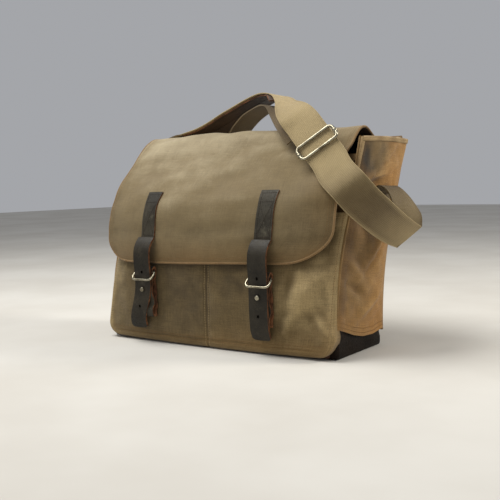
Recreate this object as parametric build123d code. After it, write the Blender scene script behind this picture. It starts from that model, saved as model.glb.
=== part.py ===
"""Messenger bag: waxed canvas body with a front pocket, a full flap held by two leather straps, and a webbing
shoulder strap with a slider. Millimetres; +X to the wearer's right as seen from the front, +Y to the back, +Z up.
The origin is the centre of the base's underside. The front faces -Y, and the upper body leans back."""
import os
from math import cos, radians, sin, sqrt, tan

from build123d import *

# Main body
WIDTH = 390.0
DEPTH = 128.0
EAR_HEIGHT = 285.0          # top of the side gussets and of the back panel
FRONT_RIM = 262.0           # top of the front panel, below the flap
CANVAS = 3.0                # lined canvas
LINING = 1.2
BASE_LEATHER = 2.5
BASE_UPSTAND = 30.0
BOARD = 3.0

# The backward lean: upright, then one arc, then straight
LEAN_START = 30.0
LEAN_RADIUS = 320.0
LEAN_ANGLE = 24.0

# Front pocket, in the side view: outer face from below its foot to its mouth
POCKET_FACE = [(-80.0, -2.0), (-81.0, 125.0), (-62.0, 187.0)]
POCKET_FOOT = 4.0
POCKET_FACE_RADIUS = 60.0
POCKET_HALF_WIDTH = 190.0
POCKET_CORNER = 28.0
SEAM_HALF_WIDTH = 6.0
SEAM_TAPE = 0.5

# Flap, in the side view: outer face from the front edge up over the ridge to the hinge edge
FLAP_FACE = [(-86.0, 118.0), (-76.0, 196.0), (36.0, 307.0), (146.5, 291.5)]
FLAP_RADII = [70.0, 28.0]
FLAP_SHELL = 2.0
FLAP_HALF_WIDTH = 188.0
FLAP_CORNER = 60.0
FLAP_BINDING = 5.0
HINGE_Y = 149.0
HINGE_Z = 287.0

# Closure straps, rings, tabs and studs
STRAP_X = {"left": -105.0, "right": 96.0}
STRAP_WIDTH = 29.0
STRAP_LEATHER = 3.0
STRAP_FACE = [(-85.0, 18.0), (-95.6, 48.0), (-96.5, 98.0), (-98.5, 126.0), (-85.0, 151.5)]
STRAP_RADII = [40.0, 60.0, 18.0]
STRAP_END = 22.0
HOLE_RADIUS = 2.4
HOLE_HEIGHTS = [54.0, 79.0, 104.0]
STUD_HEIGHT = HOLE_HEIGHTS[1]
PATCH_WIDTH = 25.0
PATCH_TOP = 217.0
PATCH_FOOT = 153.0
PATCH_LEATHER = 2.0
TAB_WIDTH = 27.0
TAB_LEATHER = 2.0
TAB_FOOT = 50.0
RING_WIRE = 1.6
RING_BAR_Y = -87.5          # the straight bar, inside the tab's fold
RING_BAR_Z = 105.0
RING_WIDTH = 37.2           # between wire centres
RING_DROP = 16.4
RING_CORNER = 6.5
RING_TILT = 45.0            # below horizontal, at rest
FOLD_CLEARANCE = 0.3
SNAP_RADIUS = 7.0

# Shoulder strap
WEBBING = 50.0
WEBBING_THICKNESS = 2.5
PAD_WIDTH = 40.0
PAD_LEATHER = 2.2
SLIDER_LENGTH = 60.5
SLIDER_WIDTH = 26.0
SLIDER_WIRE = 1.9
SLIDER_BAR = 1.5
SLIDER_AT = Vector(147.1, -22.3, 277.0)
SLIDER_RUN = Vector(-0.689, 0.30, 0.659).normalized()
SLIDER_ACROSS = Vector(0.719, 0.396, 0.572).normalized()

PARTS = {}


def lean(z):
    """How far back the body is at height z."""
    if z <= LEAN_START:
        return 0.0
    end = LEAN_START + LEAN_RADIUS * sin(radians(LEAN_ANGLE))
    if z <= end:
        return LEAN_RADIUS - sqrt(LEAN_RADIUS**2 - (z - LEAN_START) ** 2)
    return LEAN_RADIUS * (1 - cos(radians(LEAN_ANGLE))) + (z - end) * tan(radians(LEAN_ANGLE))


def side_face(edges, x):
    """A face in the side view, from edges whose points are (y, z), at x."""
    return Plane(origin=(x, 0, 0), x_dir=(0, 1, 0), z_dir=(1, 0, 0)) * make_face(edges)


def leaning(y1, y2, x1, x2, z1, z2):
    """A block between two copies of the leaning profile, y1 to y2 at the base."""
    top = EAR_HEIGHT + 40
    end = LEAN_START + LEAN_RADIUS * sin(radians(LEAN_ANGLE))
    middle = LEAN_START + LEAN_RADIUS * sin(radians(LEAN_ANGLE / 2))
    edges = []
    for y in (y1, y2):
        edges.append(Line((y, -20), (y, LEAN_START)))
        edges.append(ThreePointArc((y, LEAN_START), (y + lean(middle), middle), (y + lean(end), end)))
        edges.append(Line((y + lean(end), end), (y + lean(top), top)))
    edges.append(Line((y1, -20), (y2, -20)))
    edges.append(Line((y1 + lean(top), top), (y2 + lean(top), top)))
    block = extrude(side_face(edges, x1), x2 - x1)
    return block & Pos(0, 0, (z1 + z2) / 2) * Box(3 * WIDTH, 3 * WIDTH, z2 - z1)


def banded(points, radii, outside, inside, x1, x2):
    """A sheet between two offsets of a filleted side-view line that goes upwards, from x1 to x2.
    Offsets are positive outwards and negative into the bag."""
    line = FilletPolyline(*points, radius=radii)
    outer = line if outside == 0 else offset_line(points, radii, outside)
    inner = offset_line(points, radii, inside)
    ends = [Line(outer @ 0, inner @ 0), Line(outer @ 1, inner @ 1)]
    return extrude(side_face(outer.edges() + inner.edges() + ends, x1), x2 - x1)


def offset_line(points, radii, distance):
    """The filleted line moved sideways by distance to its left, which is outwards where it goes up the front."""
    normals = []
    for a, b in zip(points, points[1:]):
        length = sqrt((b[0] - a[0]) ** 2 + (b[1] - a[1]) ** 2)
        normals.append((-(b[1] - a[1]) / length, (b[0] - a[0]) / length))
    moved = [(points[0][0] + distance * normals[0][0], points[0][1] + distance * normals[0][1])]
    moved_radii = []
    for point, n, m, radius in zip(points[1:], normals, normals[1:], radii):
        scale = distance / (1 + n[0] * m[0] + n[1] * m[1])
        moved.append((point[0] + scale * (n[0] + m[0]), point[1] + scale * (n[1] + m[1])))
        turns_left = n[0] * m[1] - n[1] * m[0] > 0
        moved_radii.append(radius - distance if turns_left else radius + distance)
    last = (points[-1][0] + distance * normals[-1][0], points[-1][1] + distance * normals[-1][1])
    return FilletPolyline(*moved, last, radius=moved_radii)


def front_outline(half_width, z1, z2, corner, inset=0.0, x=0.0):
    """A deep block with this front view: two rounded lower corners. inset shrinks it at the sides and foot."""
    width = 2 * (half_width - inset)
    foot = z1 + inset
    radius = corner - inset
    plate = Pos(x, 0, (foot + z2) / 2) * Box(width, 4 * DEPTH, z2 - foot)
    lower = plate.edges().filter_by(Axis.Y).sort_by(Axis.Z)[:2]
    return fillet(lower, radius)


def disc(x, y, z, radius, thickness):
    """A round plate facing the front, from y back by thickness."""
    return Pos(x, y + thickness / 2, z) * Rot(90, 0, 0) * Cylinder(radius, thickness)


def add(name, shape):
    """Keeps a node's solid under its name."""
    PARTS[name] = shape


# ---------------------------------------------------------------- body
def body():
    half = WIDTH / 2
    front, back = -DEPTH / 2, DEPTH / 2
    inner = half - CANVAS
    outer_x = half + BASE_LEATHER
    tray = Pos(0, BASE_LEATHER / 2, BASE_UPSTAND / 2) * Box(2 * outer_x, DEPTH + BASE_LEATHER, BASE_UPSTAND)
    tray -= Pos(0, 0, BASE_LEATHER + BASE_UPSTAND / 2) * Box(WIDTH, DEPTH, BASE_UPSTAND)
    tray += Pos(0, front - BASE_LEATHER / 2, BASE_LEATHER / 2) * Box(2 * outer_x, BASE_LEATHER, BASE_LEATHER)
    add("leather_base", tray)
    board_z = BASE_LEATHER + BOARD / 2
    add("base_board", Pos(0, 0, board_z) * Box(2 * inner, DEPTH - 2 * CANVAS, BOARD))
    add("front_panel", leaning(front, front + CANVAS, -inner, inner, BASE_LEATHER, FRONT_RIM))
    add("back_panel", leaning(back - CANVAS, back, -inner, inner, BASE_LEATHER, EAR_HEIGHT))
    for side, x1 in (("left", -half), ("right", inner)):
        add(f"side_gusset_{side}", leaning(front, back, x1, x1 + CANVAS, BASE_LEATHER, EAR_HEIGHT))

    floor = BASE_LEATHER + BOARD
    rim = FRONT_RIM - 12
    bag = leaning(front + CANVAS, back - CANVAS, -inner, inner, floor, rim)
    room = leaning(front + CANVAS + LINING, back - CANVAS - LINING, LINING - inner, inner - LINING,
                   floor + LINING, rim + 1)
    add("lining", bag - room)


def edge_tapes():
    """Binding tape folded over the free canvas edges, and the tapes over the gusset seams."""
    tape = 1.2
    depth = 8.0
    half = WIDTH / 2
    front, back = -DEPTH / 2, DEPTH / 2
    for side, sign in (("left", -1), ("right", 1)):
        x1, x2 = sorted((sign * (half - CANVAS - 1.0), sign * (half + tape)))
        channel = leaning(front, back - CANVAS - 0.2, x1, x2, EAR_HEIGHT - depth, EAR_HEIGHT + tape)
        add(f"ear_binding_{side}", channel - PARTS[f"side_gusset_{side}"])
        x1, x2 = sorted((sign * half, sign * (half + tape)))
        z1, z2 = BASE_UPSTAND, EAR_HEIGHT - depth - 1
        add(f"front_seam_tape_{side}", leaning(front, front + 6, x1, x2, z1, z2))
        add(f"back_seam_tape_{side}", leaning(back - 6, back, x1, x2, z1, z2))
    x = half - CANVAS - 2
    rim = leaning(front - tape, front + CANVAS + tape, -x, x, FRONT_RIM - depth, FRONT_RIM + tape)
    add("rim_binding", rim - PARTS["front_panel"])


def front_pocket():
    face = [POCKET_FACE, [POCKET_FACE_RADIUS]]
    foot, mouth = POCKET_FOOT, POCKET_FACE[-1][1]
    outline = front_outline(POCKET_HALF_WIDTH, foot, mouth + 20, POCKET_CORNER)
    for side, x1, x2 in (("left", -POCKET_HALF_WIDTH, 0), ("right", 0, POCKET_HALF_WIDTH)):
        add(f"pocket_panel_{side}", banded(*face, 0, -CANVAS, x1, x2) & outline)

    wide = POCKET_HALF_WIDTH + 5
    behind = leaning(-DEPTH, -DEPTH / 2, -wide, wide, foot, mouth - 4)
    ahead = banded(*face, 60, -CANVAS, -wide, wide)
    between = behind - ahead
    hollow = front_outline(POCKET_HALF_WIDTH, foot, mouth + 40, POCKET_CORNER, inset=CANVAS)
    add("pocket_gusset", (between & outline) - hollow)
    wall = Pos(0, 0, mouth / 2) * Box(2.0, 4 * DEPTH, mouth - 30)
    add("pocket_divider", between & wall & hollow)
    tape = banded(*face, SEAM_TAPE, 0, -SEAM_HALF_WIDTH, SEAM_HALF_WIDTH)
    add("pocket_seam_tape", tape & outline)


# ---------------------------------------------------------------- flap and its fittings
def flap():
    half = FLAP_HALF_WIDTH
    foot = FLAP_FACE[0][1]
    face = [FLAP_FACE, FLAP_RADII]
    outline = front_outline(half, foot, HINGE_Z + 60, FLAP_CORNER)
    hollow = front_outline(half, foot, HINGE_Z + 90, FLAP_CORNER, inset=FLAP_BINDING)
    shell = banded(*face, 0, -FLAP_SHELL, -half, half) & outline
    lining = banded(*face, -FLAP_SHELL, -FLAP_SHELL - LINING, -half, half) & outline
    add("flap_shell", shell)
    add("flap_lining", lining)
    tape = banded(*face, 0.8, -FLAP_SHELL - LINING - 0.8, -half - 0.8, half + 0.8)
    outside = front_outline(half + 0.8, foot - 0.8, HINGE_Z + 60, FLAP_CORNER + 0.8)
    add("flap_binding", (tape & outside) - hollow - shell - lining)


def closure(side, x):
    """One strap with its sewn patch, tab, stud and snap. The ring is separate: it swings."""
    half = STRAP_WIDTH / 2
    face = [FLAP_FACE, FLAP_RADII]
    patch = banded(*face, PATCH_LEATHER, 0, x - PATCH_WIDTH / 2, x + PATCH_WIDTH / 2)
    cut = Pos(x, 0, (PATCH_TOP + PATCH_FOOT) / 2) * Box(WIDTH, 4 * DEPTH, PATCH_TOP - PATCH_FOOT)
    in_front = Pos(x, -DEPTH, 0) * Box(WIDTH, 2 * DEPTH, 1000)
    add(f"strap_patch_{side}", patch & cut & in_front)

    strap = banded(STRAP_FACE, STRAP_RADII, 0, -STRAP_LEATHER, x - half, x + half)
    rounded = front_outline(half, STRAP_END, 200, 5.0, x=x)
    strap &= rounded
    for height in HOLE_HEIGHTS:
        strap -= Pos(x, -90, height) * Rot(90, 0, 0) * Cylinder(HOLE_RADIUS, 60)
    add(f"closure_strap_{side}", strap)

    fold = RING_WIRE + FOLD_CLEARANCE
    outer = fold + TAB_LEATHER
    bar = (RING_BAR_Y, RING_BAR_Z)
    legs = [Line((bar[0] + s * r, TAB_FOOT), (bar[0] + s * r, bar[1])) for s in (-1, 1) for r in (fold, outer)]
    arcs = [ThreePointArc((bar[0] - r, bar[1]), (bar[0], bar[1] + r), (bar[0] + r, bar[1]))
            for r in (fold, outer)]
    feet = [Line((bar[0] + s * fold, TAB_FOOT), (bar[0] + s * outer, TAB_FOOT)) for s in (-1, 1)]
    tab = extrude(side_face(legs + arcs + feet, x - TAB_WIDTH / 2), TAB_WIDTH)
    front_face = bar[0] - outer
    tab -= Pos(x, front_face, STUD_HEIGHT) * Rot(90, 0, 0) * Cylinder(2.1, 2 * TAB_LEATHER + 1)
    add(f"ring_tab_{side}", tab)

    flange_y = bar[0] - fold
    neck = Pos(x, 0, STUD_HEIGHT) * disc(0, flange_y - 7.6, 0, 2.0, 7.6)
    head = Pos(x, flange_y - 8.6, STUD_HEIGHT) * Rot(90, 0, 0) * Cylinder(3.4, 2.0)
    head = fillet(head.edges().sort_by(Axis.Y)[0], 1.4)
    flange = disc(x, flange_y, STUD_HEIGHT, 5.0, 1.0)
    stud = neck + head + flange - disc(x, flange_y - 4, STUD_HEIGHT, 1.4, 6)
    add(f"stud_{side}", stud)
    screw = disc(x, flange_y + 1.0, STUD_HEIGHT, 4.0, 1.0) + disc(x, flange_y - 3.5, STUD_HEIGHT, 1.35, 4.5)
    screw -= Pos(x, flange_y + 2.0, STUD_HEIGHT) * Box(6, 1.0, 1.0)
    add(f"stud_screw_{side}", screw)

    back_face = bar[0] + outer
    add(f"snap_magnet_{side}", disc(x, back_face, STUD_HEIGHT, SNAP_RADIUS, 1.1))
    add(f"snap_plate_{side}", disc(x, back_face + 1.4, STUD_HEIGHT, SNAP_RADIUS, 1.45))


def ring(side, x):
    """A wire ring with rounded corners whose straight bar lies in the tab's fold."""
    turn = radians(RING_TILT)
    down = Vector(0, -cos(turn), -sin(turn))
    plane = Plane(origin=(x, RING_BAR_Y, RING_BAR_Z), x_dir=(1, 0, 0), z_dir=Vector(1, 0, 0).cross(down))
    path = plane * Pos(0, RING_DROP / 2) * RectangleRounded(RING_WIDTH, RING_DROP, RING_CORNER).wire()
    start = path @ 0
    section = Plane(origin=start, z_dir=path % 0) * Circle(RING_WIRE)
    add(f"ring_{side}", sweep(section, path=path))


# ---------------------------------------------------------------- shoulder strap
def smooth(stations, steps=3):
    """Stations (centre, across) made denser along a curve through them."""
    rows = []
    for i in range(len(stations) - 1):
        four = [stations[max(0, min(len(stations) - 1, i + k))] for k in (-1, 0, 1, 2)]
        for step in range(steps):
            t = step / steps
            rows.append(tuple(curve_point([Vector(*s[k]) for s in four], t) for k in (0, 1)))
    rows.append((Vector(*stations[-1][0]), Vector(*stations[-1][1])))
    return rows


def curve_point(p, t):
    """A point of the curve through p[1] and p[2], at t from 0 to 1."""
    a = p[1] * 2
    b = (p[2] - p[0]) * t
    c = (p[0] * 2 - p[1] * 5 + p[2] * 4 - p[3]) * (t * t)
    d = (p[1] * 3 - p[0] - p[2] * 3 + p[3]) * (t * t * t)
    return (a + b + c + d) * 0.5


def ribbon(stations, width, thickness, shift=0.0, first=0, last=None):
    """A flat band through the stations, or through those from first to last.
    shift moves it along its outer normal."""
    rings = []
    for i, (centre, across) in enumerate(stations):
        run = stations[min(i + 1, len(stations) - 1)][0] - stations[max(i - 1, 0)][0]
        across = (across - run * (across.dot(run) / run.dot(run))).normalized()
        normal = across.cross(run).normalized()
        mid = centre + normal * shift
        rings.append([mid + across * (a * width / 2) + normal * (n * thickness / 2)
                      for a, n in ((-1, -1), (1, -1), (1, 1), (-1, 1))])
    rings = rings[first:last]
    triangles = [(rings[0][0], rings[0][1], rings[0][2]), (rings[0][0], rings[0][2], rings[0][3])]
    for low, high in zip(rings, rings[1:]):
        for k in range(4):
            a, b, c, d = low[k], low[(k + 1) % 4], high[(k + 1) % 4], high[k]
            triangles += [(a, b, c), (a, c, d)] if k < 2 else [(a, b, d), (b, c, d)]
    end = rings[-1]
    triangles += [(end[0], end[1], end[2]), (end[0], end[2], end[3])]
    faces = [Face(Wire.make_polygon(t, close=True)) for t in triangles]
    return Solid(Shell(faces))


def points(stations):
    """Stations as vectors, with nothing added between them."""
    return [tuple(Vector(*v) for v in s) for s in stations]


def along_slider(distance):
    return tuple(SLIDER_AT + SLIDER_RUN * distance)


def shoulder_strap():
    across = tuple(SLIDER_ACROSS)
    flat = (0, 1, -0.1)
    straight = [(along_slider(distance), across) for distance in (-31, -28, 14, 44, 59)]
    right = [((250, 42, 152), (0.34, 0.77, 0.51)), ((242.5, 20, 160), (0.42, 0.6, 0.58)),
             ((236, 0, 172.5), (0.5, 0.5, 0.6)), ((230, -21, 187.5), (0.58, 0.45, 0.6)),
             ((222, -41, 204), (0.65, 0.42, 0.59)), ((211, -56, 224), (0.7, 0.4, 0.58)),
             ((186, -43, 240.5), across)]
    over = [((66, 30, 334), (0.2, 0.9, 0.35)), ((38, 72, 351), (0.0, 0.97, 0.1)),
            ((5, 100, 361), (-0.1, 0.98, -0.05)), ((-40, 107, 352), (-0.1, 0.93, -0.3)),
            ((-90, 107, 330), (-0.05, 0.9, -0.42)), ((-135, 106, 312), (-0.05, 0.92, -0.35)),
            ((-170, 104, 308), (0, 0.98, -0.15)), ((-192, 102, 304), (0, 1, -0.1)),
            ((-203, 96, 289), flat), ((-204, 88, 270), flat)]
    line = smooth(right) + points(straight) + smooth(over)
    add("shoulder_webbing", ribbon(line, WEBBING, WEBBING_THICKNESS))
    below = -(WEBBING_THICKNESS + PAD_LEATHER) / 2 - 0.6
    first = len(line) - len(smooth(over)) + 6
    add("shoulder_pad", ribbon(line, PAD_WIDTH, PAD_LEATHER, below, first, first + 9))

    loop = [((112, -6, 293), across), ((84, 18, 309), (0.35, 0.85, 0.4)), ((52, 50, 326), (0.1, 0.97, 0.2)),
            ((22, 76, 340), (0, 1, 0)), ((-8, 92, 343), (0, 1, 0)), ((-38, 99, 333), (0, 1, -0.1)),
            ((-60, 101, 317), (0, 1, -0.1)), ((-70, 102, 304), (0, 1, -0.1))]
    add("webbing_return", ribbon(smooth(loop), WEBBING - 2, WEBBING_THICKNESS))

    x = WIDTH / 2 + WEBBING_THICKNESS / 2 + 0.1
    loop = [((x, 60, 205), flat), ((198.5, 60, 215), flat), ((206, 60, 221), flat),
            ((217, 58, 220), (0.05, 1, 0.0)), ((229, 55, 210), (0.15, 0.95, 0.2)),
            ((239, 51, 194), (0.25, 0.87, 0.4)), ((246, 46.5, 174), (0.32, 0.8, 0.48)),
            ((247, 43.5, 157), (0.34, 0.77, 0.51))]
    sewn = [((x, 58, 172), flat)]
    add("strap_end_right", ribbon(points(sewn) + smooth(loop), WEBBING, WEBBING_THICKNESS))
    rising = [((-x, 61, 205), flat), ((-199, 66, 228), flat), ((-202.5, 75, 248), flat),
              ((-204, 85, 266), flat)]
    sewn = [((-x, 58, 172), flat)]
    add("strap_end_left", ribbon(points(sewn) + smooth(rising), WEBBING, WEBBING_THICKNESS))


def slider():
    """A rounded wire frame on the webbing's outer side, with its bar passing beneath the webbing."""
    plane = Plane(origin=SLIDER_AT, x_dir=SLIDER_ACROSS, z_dir=SLIDER_ACROSS.cross(SLIDER_RUN))
    above = WEBBING_THICKNESS / 2 + SLIDER_WIRE + 0.3
    below = WEBBING_THICKNESS / 2 + SLIDER_BAR + 0.3
    length, width = SLIDER_LENGTH - 2 * SLIDER_WIRE, SLIDER_WIDTH - 2 * SLIDER_WIRE
    path = Pos(0, 0, above) * RectangleRounded(length, width, 6).wire()
    section = Plane(origin=path @ 0, z_dir=path % 0) * Circle(SLIDER_WIRE)
    add("slider_frame", plane * sweep(section, path=path))
    bar = Pos(0, 0, -below) * Rot(0, 90, 0) * Cylinder(SLIDER_BAR, length)
    leg = below + above - SLIDER_WIRE
    for sign in (-1, 1):
        bar += Pos(sign * length / 2, 0, leg / 2 - below) * Cylinder(SLIDER_BAR, leg)
    add("slider_bar", plane * bar)


def main():
    body()
    edge_tapes()
    front_pocket()
    flap()
    for side, x in STRAP_X.items():
        closure(side, x)
        ring(side, x)
    shoulder_strap()
    slider()
    os.makedirs("parts", exist_ok=True)
    for name, shape in PARTS.items():
        export_step(shape, f"parts/{name}.step")


main()
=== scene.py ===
"""Messenger bag of waxed canvas on a pale floor. Shapes are worked out in millimetres in the CAD frame."""

import bpy
import numpy as np
from mathutils import Matrix, Vector


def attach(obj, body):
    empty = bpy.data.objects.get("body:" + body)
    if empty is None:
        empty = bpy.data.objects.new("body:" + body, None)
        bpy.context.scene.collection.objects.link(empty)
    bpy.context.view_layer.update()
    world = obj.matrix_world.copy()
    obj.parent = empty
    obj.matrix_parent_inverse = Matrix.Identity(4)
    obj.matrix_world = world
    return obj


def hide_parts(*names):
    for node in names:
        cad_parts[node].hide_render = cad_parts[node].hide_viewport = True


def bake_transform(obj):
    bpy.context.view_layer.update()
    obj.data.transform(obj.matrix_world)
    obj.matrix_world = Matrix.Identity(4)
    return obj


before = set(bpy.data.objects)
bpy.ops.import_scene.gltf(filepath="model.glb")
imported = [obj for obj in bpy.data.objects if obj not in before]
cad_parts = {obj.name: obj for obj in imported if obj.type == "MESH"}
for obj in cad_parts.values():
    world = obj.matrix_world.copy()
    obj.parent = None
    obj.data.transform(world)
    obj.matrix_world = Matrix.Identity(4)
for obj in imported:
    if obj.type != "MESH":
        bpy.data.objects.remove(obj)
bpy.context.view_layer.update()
MM = 0.001
scene = bpy.context.scene

# The body: half its width and depth, and the height where its walls end
HALF_WIDTH, HALF_DEPTH, BODY_TOP = 195.0, 64.5, 286
# Its walls rise straight to a height, bend back on a radius, and go on at an angle
BEND_FROM, BEND_RADIUS, LEAN_ANGLE = 30, 320, np.radians(24)
# How far a gusset's front edge stands forward at the top
EAR_FORWARD = {"left": -4, "right": 11}
CLOSURE_X = {"left": -105.0, "right": 96.0}
RIM_ANGLE = np.radians(50)  # edges sharper than this stay crisp
THREAD_PITCH = 0.00085      # of the canvas, in metres
RIB_PITCH = 0.0022          # across the webbing
PICK_PITCH = 0.0019         # along the webbing


# ---- small tools
def lean(z):
    """How far back the body is at height z."""
    end = BEND_FROM + BEND_RADIUS * np.sin(LEAN_ANGLE)
    rise = np.clip(z - BEND_FROM, 0, end - BEND_FROM)
    arc = BEND_RADIUS - np.sqrt(np.maximum(BEND_RADIUS**2 - rise**2, 0))
    return arc + np.maximum(z - end, 0) * np.tan(LEAN_ANGLE)


def curve(points, t):
    """A smooth curve through points, at t from 0 to 1 by chord length."""
    p = np.array(points, float)
    t = np.asarray(t, float)
    steps = np.linalg.norm(np.diff(p, axis=0), axis=1)
    c = np.concatenate([[0], np.cumsum(steps)]) / steps.sum()
    m = np.empty_like(p)
    m[1:-1] = (p[2:] - p[:-2]) / (c[2:] - c[:-2])[:, None]
    m[0] = (p[1] - p[0]) / (c[1] - c[0])
    m[-1] = (p[-1] - p[-2]) / (c[-1] - c[-2])
    i = np.clip(np.searchsorted(c, t, side="right") - 1, 0, len(p) - 2)
    h = (c[i + 1] - c[i])[..., None]
    s = (t - c[i])[..., None] / h
    return ((2 * s**3 - 3 * s**2 + 1) * p[i] + (s**3 - 2 * s**2 + s) * h * m[i]
            + (3 * s**2 - 2 * s**3) * p[i + 1] + (s**3 - s**2) * h * m[i + 1])


def ramp(x, a, b):
    """0 before a, 1 after b, smooth between."""
    t = np.clip((x - a) / (b - a), 0, 1)
    return t * t * (3 - 2 * t)


def hump(x, centre, width):
    return np.exp(-(((x - centre) / width) ** 2))


def folds(a, b, rows):
    """Ridges and hollows over two coordinates in mm. Each row is a height, a centre on each coordinate, the slant of
    a over b, and a half width on each."""
    return sum(height * hump(a - slant * (b - at_b), at_a, wide_a) * hump(b, at_b, wide_b)
               for height, at_a, at_b, slant, wide_a, wide_b in rows)


def waves(a, b, size, seed, count=14):
    """A smooth random field over two coordinates in mm, about -1 to 1, with features of the given size."""
    rng = np.random.default_rng(seed)
    total = 0
    for k in range(count):
        angle, phase = rng.uniform(0, 2 * np.pi, 2)
        length = size * rng.uniform(1.2, 3.2)
        total = total + np.sin((a * np.cos(angle) + b * np.sin(angle)) * 2 * np.pi / length + phase)
    return total / np.sqrt(count)


def unit(v):
    return v / np.maximum(np.linalg.norm(v, axis=-1, keepdims=True), 1e-9)


def normals_of(grid):
    return unit(np.cross(np.gradient(grid, axis=0), np.gradient(grid, axis=1)))


def lookup(grid, u, v):
    """Points of the grid at u and v from 0 to 1, along its two axes."""
    u, v = np.broadcast_arrays(np.asarray(u, float), np.asarray(v, float))
    a = np.clip(u, 0, 1) * (grid.shape[0] - 1)
    b = np.clip(v, 0, 1) * (grid.shape[1] - 1)
    i, j = np.minimum(a.astype(int), grid.shape[0] - 2), np.minimum(b.astype(int), grid.shape[1] - 2)
    f, g = (a - i)[..., None], (b - j)[..., None]
    return ((grid[i, j] * (1 - f) + grid[i + 1, j] * f) * (1 - g)
            + (grid[i, j + 1] * (1 - f) + grid[i + 1, j + 1] * f) * g)


def linked(name, data):
    """A new object in the scene."""
    item = bpy.data.objects.new(name, data)
    scene.collection.objects.link(item)
    return item


def mesh(name, points, faces, materials, face_material=None, uv=None, values=None):
    """A mesh object from points in mm. uv is per point, in metres; values are extra numbers per point."""
    data = bpy.data.meshes.new(name)
    points = np.asarray(points, float)
    faces = [np.asarray(f) for f in faces]
    data.vertices.add(len(points))
    data.vertices.foreach_set("co", (points * MM).astype(np.float32).ravel())
    loops = np.concatenate([f.ravel() for f in faces])
    sizes = np.concatenate([np.full(len(f), f.shape[1]) for f in faces])
    data.loops.add(len(loops))
    data.loops.foreach_set("vertex_index", loops.astype(np.int32))
    data.polygons.add(len(sizes))
    data.polygons.foreach_set("loop_start", np.concatenate([[0], np.cumsum(sizes)[:-1]]).astype(np.int32))
    data.update(calc_edges=True)
    data.validate()
    data.polygons.foreach_set("use_smooth", np.ones(len(data.polygons), bool))
    if face_material is not None:
        data.polygons.foreach_set("material_index", np.asarray(face_material, np.int32))
    if uv is not None:
        layer = data.uv_layers.new(name="UVMap")
        layer.data.foreach_set("uv", np.asarray(uv, np.float32)[loops].ravel())
    for key, value in (values or {}).items():
        layer = data.attributes.new(key, "FLOAT", "POINT")
        layer.data.foreach_set("value", np.asarray(value, np.float32).ravel())
    for material in materials:
        data.materials.append(material)
    return linked(name, data)


def xyz(x, y, z):
    return np.stack(np.broadcast_arrays(x, y, z), axis=-1).astype(float)


def grid_uv(grid):
    """Lengths along the grid's middle lines, in metres."""
    a = np.linalg.norm(np.diff(grid, axis=0), axis=2).mean(axis=1)
    b = np.linalg.norm(np.diff(grid, axis=1), axis=2).mean(axis=0)
    u = np.concatenate([[0], np.cumsum(a)]) * MM
    v = np.concatenate([[0], np.cumsum(b)]) * MM
    return np.stack(np.meshgrid(u, v, indexing="ij"), axis=2).reshape(-1, 2)


def quads(index):
    return np.stack([index[:-1, :-1], index[1:, :-1], index[1:, 1:], index[:-1, 1:]], axis=2).reshape(-1, 4)


def sheet(name, grid, thick, materials, tone=0.0, warm=0.0):
    """A sheet with its outer face on the grid. Materials are for the outer face, the inner face and the rim."""
    nu, nv = grid.shape[:2]
    inner = grid - normals_of(grid) * thick
    index = np.arange(nu * nv).reshape(nu, nv)
    far = index + nu * nv
    front, back = quads(index), quads(far)[:, ::-1]
    loop = np.concatenate([index[:, 0], index[-1, 1:], index[-2::-1, -1], index[0, -2:0:-1]])
    nxt = np.roll(loop, -1)
    rim = np.stack([loop, loop + nu * nv, nxt + nu * nv, nxt], axis=1)
    points = np.concatenate([grid.reshape(-1, 3), inner.reshape(-1, 3)])
    which = np.repeat([0, 1, len(materials) - 1], [len(front), len(back), len(rim)])
    uv = grid_uv(grid)
    values = {key: np.tile(np.ravel(value + np.zeros((nu, nv))), 2) for key, value in (("tone", tone), ("warm", warm))}
    item = mesh(name, points, [front, back, rim], materials, which, np.concatenate([uv, uv]), values)
    item.data.set_sharp_from_angle(angle=RIM_ANGLE)
    return item


def tube(name, path, radius, material, sides=8, closed=False, lift=None, tone=0.45, warm=0.3):
    """A round cord along a path in mm. Its sides are counted from the direction of lift."""
    path = np.asarray(path, float)
    if closed:
        run = unit(np.roll(path, -1, axis=0) - np.roll(path, 1, axis=0))
    else:
        run = unit(np.gradient(path, axis=0))
    if lift is None:
        lift = np.tile([0.3, 0.2, 0.93], (len(path), 1))
    lift = np.asarray(lift, float)
    side = unit(np.cross(run, lift))
    up = unit(np.cross(side, run))
    angle = np.linspace(0, 2 * np.pi, sides, endpoint=False)
    radius = np.broadcast_to(np.asarray(radius, float), (len(path),))[:, None, None]
    around = side[:, None] * np.cos(angle)[:, None] + up[:, None] * np.sin(angle)[:, None]
    ring = path[:, None] + radius * around
    index = np.arange(ring.shape[0] * sides).reshape(-1, sides)
    wide = np.concatenate([index, index[:, :1]], axis=1)
    if closed:
        wide = np.concatenate([wide, wide[:1]])
    faces = [quads(wide)]
    if not closed:
        faces += [index[0][None, ::-1], index[-1][None]]
    length = run_lengths(path) * MM
    uv = np.stack([np.repeat(length, sides), np.tile(angle * 0.001, len(path))], axis=1)
    points = ring.reshape(-1, 3)
    values = {"tone": np.full(len(points), tone), "warm": np.full(len(points), warm)}
    return mesh(name, points, faces, [material], uv=uv, values=values)


def run_lengths(path):
    """The length along a path at each of its points."""
    return np.concatenate([[0], np.cumsum(np.linalg.norm(np.diff(path, axis=0), axis=1))])


def columns(s, length, values):
    """Each column of values, given at these lengths, at the places s."""
    return np.stack([np.interp(s, length, values[:, k]) for k in range(values.shape[1])], axis=1)


def resample(path, step, also):
    """Points at even steps along a path, and another array per point taken along."""
    length = run_lengths(path)
    s = np.linspace(0, length[-1], max(2, int(round(length[-1] / step)) + 1))
    return columns(s, length, path), columns(s, length, also)


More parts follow.
